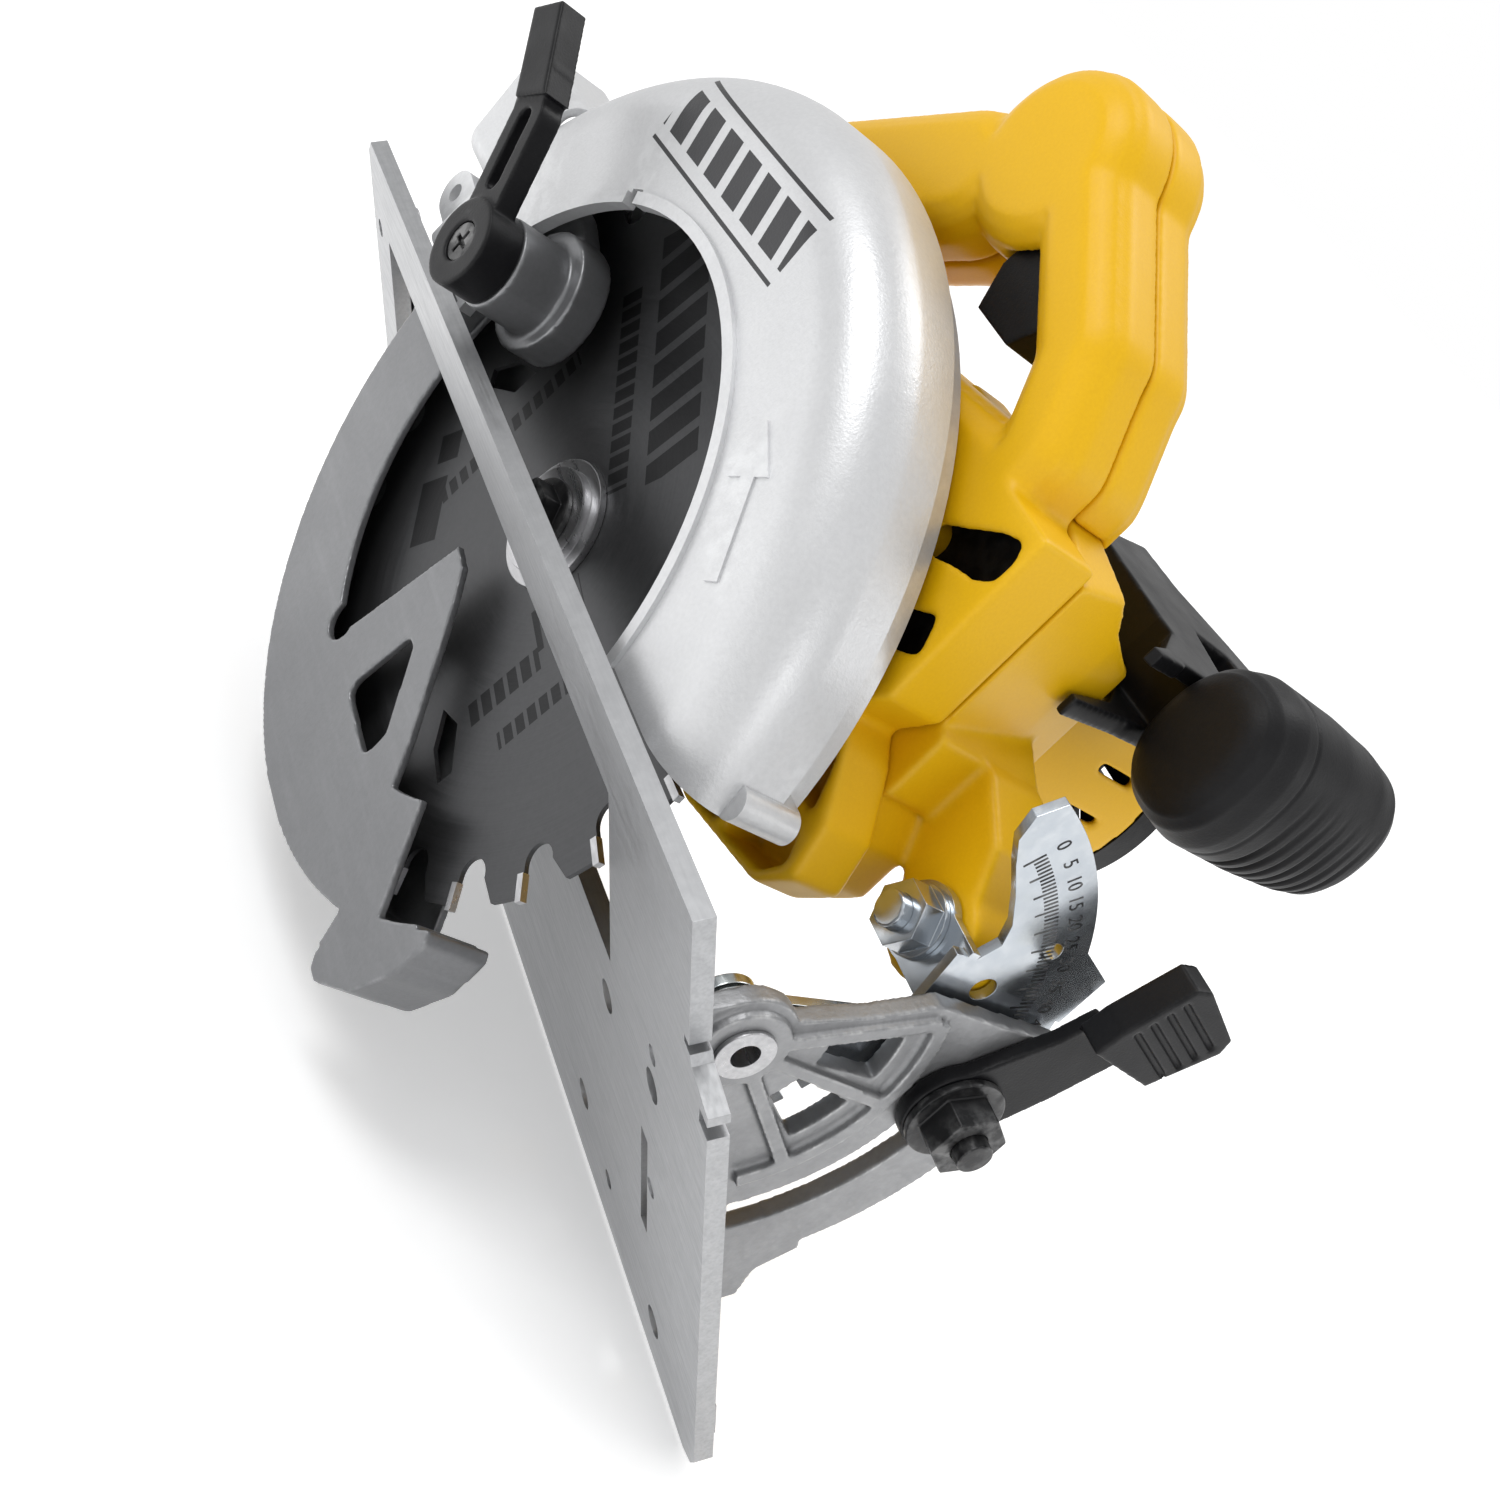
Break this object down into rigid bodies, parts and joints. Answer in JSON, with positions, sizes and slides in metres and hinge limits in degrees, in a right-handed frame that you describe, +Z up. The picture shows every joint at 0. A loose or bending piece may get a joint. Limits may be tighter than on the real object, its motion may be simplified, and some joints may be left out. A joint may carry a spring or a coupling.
{
  "type": "circular saw",
  "caption": "Corded hand-held circular saw with a guarded blade, looped handle, side grip and a shoe that tilts for bevel and depth.",
  "frame": {"origin": "arbor centre on the middle plane of the blade", "axes": "+X forward along the cut, +Y left towards the motor along the arbor, +Z up from the saw body; the shoe is bevelled 48 degrees about an axis along X"},
  "size_m": [0.3, 0.2085, 0.2754],
  "materials": {
    "guard_paint": "silver satin paint",
    "guard_grey": "grey satin paint",
    "blade_steel": "dark coated steel",
    "steel": "ground steel",
    "plated": "bright zinc plate",
    "shoe_metal": "brushed aluminium",
    "cast_metal": "shot-blasted casting",
    "yellow": "fine textured moulding",
    "black_plastic": "textured moulding",
    "black_rubber": "soft grip",
    "black_metal": "black oxide",
    "copper": "copper winding and bars",
    "brass": "plain brass",
    "carbon": "carbon"
  },
  "bodies": {
    "motor_body": {"upper_guard": "guard_paint", "bearing_retainer": "steel", "retainer_screws": "black_metal", "spindle_bearing_front": "steel", "spindle_bearing_rear": "steel", "guard_spring": "steel", "right_housing": "yellow", "motor_housing": "yellow", "handle_left": "yellow", "end_cap": "black_plastic", "field_core": "steel", "field_coils": "copper", "armature_bearing_front": "steel", "armature_bearing_rear": "steel", "brush_holders": "brass", "carbon_brushes": "carbon", "switch_body": "black_plastic", "trigger_spring": "steel", "cord_inlet": "black_rubber", "aux_grip": "black_rubber", "aux_bracket": "black_plastic", "housing_screws": "black_metal", "handle_screws": "black_metal", "guard_screws": "black_metal", "lock_spring": "steel", "depth_bolt": "plated"},
    "spindle_body": {"spindle": "steel", "drive_gear": "steel", "gear_key": "steel", "inner_flange": "steel", "outer_flange": "steel", "blade": "blade_steel", "carbide_tips": "steel", "blade_bolt": "black_metal"},
    "armature_body": {"armature_shaft": "steel", "armature_core": "steel", "commutator": "copper", "cooling_fan": "black_plastic"},
    "lower_guard_body": {"lower_guard": "guard_grey", "guard_lever": "black_plastic", "lever_screw": "black_metal"},
    "trigger_body": {"trigger": "black_plastic"},
    "lock_body": {"lock_button": "black_plastic"},
    "depth_lever_body": {"depth_lever": "black_plastic", "depth_nut": "plated"},
    "bracket_body": {"bevel_bracket": "plated", "depth_pivot_bolt": "plated", "pivot_nut": "plated", "depth_arc": "plated", "bevel_bolt": "black_metal"},
    "bevel_lever_body": {"bevel_lever": "black_plastic", "bevel_nut": "black_metal"},
    "shoe_body": {"shoe_plate": "shoe_metal", "front_support": "cast_metal", "rear_support": "cast_metal", "pivot_eyelet": "steel", "rear_pin": "steel", "support_rivets": "steel", "stop_plate": "plated"}
  },
  "joints": [
    {"name": "blade_spin", "type": "hinge", "parent": "motor_body", "child": "spindle_body", "pos_m": [0, 0, 0], "axis": [0, 1, 0], "continuous": true},
    {"name": "armature_spin", "type": "hinge", "parent": "motor_body", "child": "armature_body", "pos_m": [0.01054, 0, 0.02608], "axis": [0, 1, 0], "continuous": true},
    {"name": "guard_swing", "type": "hinge", "parent": "motor_body", "child": "lower_guard_body", "pos_m": [0, 0, 0], "axis": [0, 1, 0], "range_deg": [0, 110], "stiffness_Nm_per_rad": 0.25, "springref_deg": -68.75},
    {"name": "trigger_pull", "type": "hinge", "parent": "motor_body", "child": "trigger_body", "pos_m": [0.039, 0.033, 0.121], "axis": [0, 1, 0], "range_deg": [0, 10], "stiffness_Nm_per_rad": 0.6, "springref_deg": -14.32, "deforming": ["trigger_spring"]},
    {"name": "lock_press", "type": "slide", "parent": "motor_body", "child": "lock_body", "axis": [1, 0, 0], "range_m": [0, 0.003], "stiffness_N_per_m": 900, "springref_m": -0.002, "deforming": ["lock_spring"]},
    {"name": "depth_clamp_turn", "type": "hinge", "parent": "motor_body", "child": "depth_lever_body", "pos_m": [-0.062, 0.057, 0.002], "axis": [0, 1, 0], "range_deg": [-25, 25]},
    {"name": "depth_tilt", "type": "hinge", "parent": "motor_body", "child": "bracket_body", "pos_m": [0.121, 0.055, 0.0145], "axis": [0, -1, 0], "range_deg": [0, 30]},
    {"name": "bevel_clamp_turn", "type": "hinge", "parent": "bracket_body", "child": "bevel_lever_body", "pos_m": [0.146, 0.06598, -0.00901], "axis": [1, 0, 0], "range_deg": [-25, 25]},
    {"name": "bevel_tilt", "type": "hinge", "parent": "bracket_body", "child": "shoe_body", "pos_m": [0.1397, 0.009, -0.014], "axis": [1, 0, 0], "range_deg": [-2, 48]}
  ],
  "couplings": [
    {"joint": "armature_spin", "follows": "blade_spin", "ratio": -4}
  ]
}
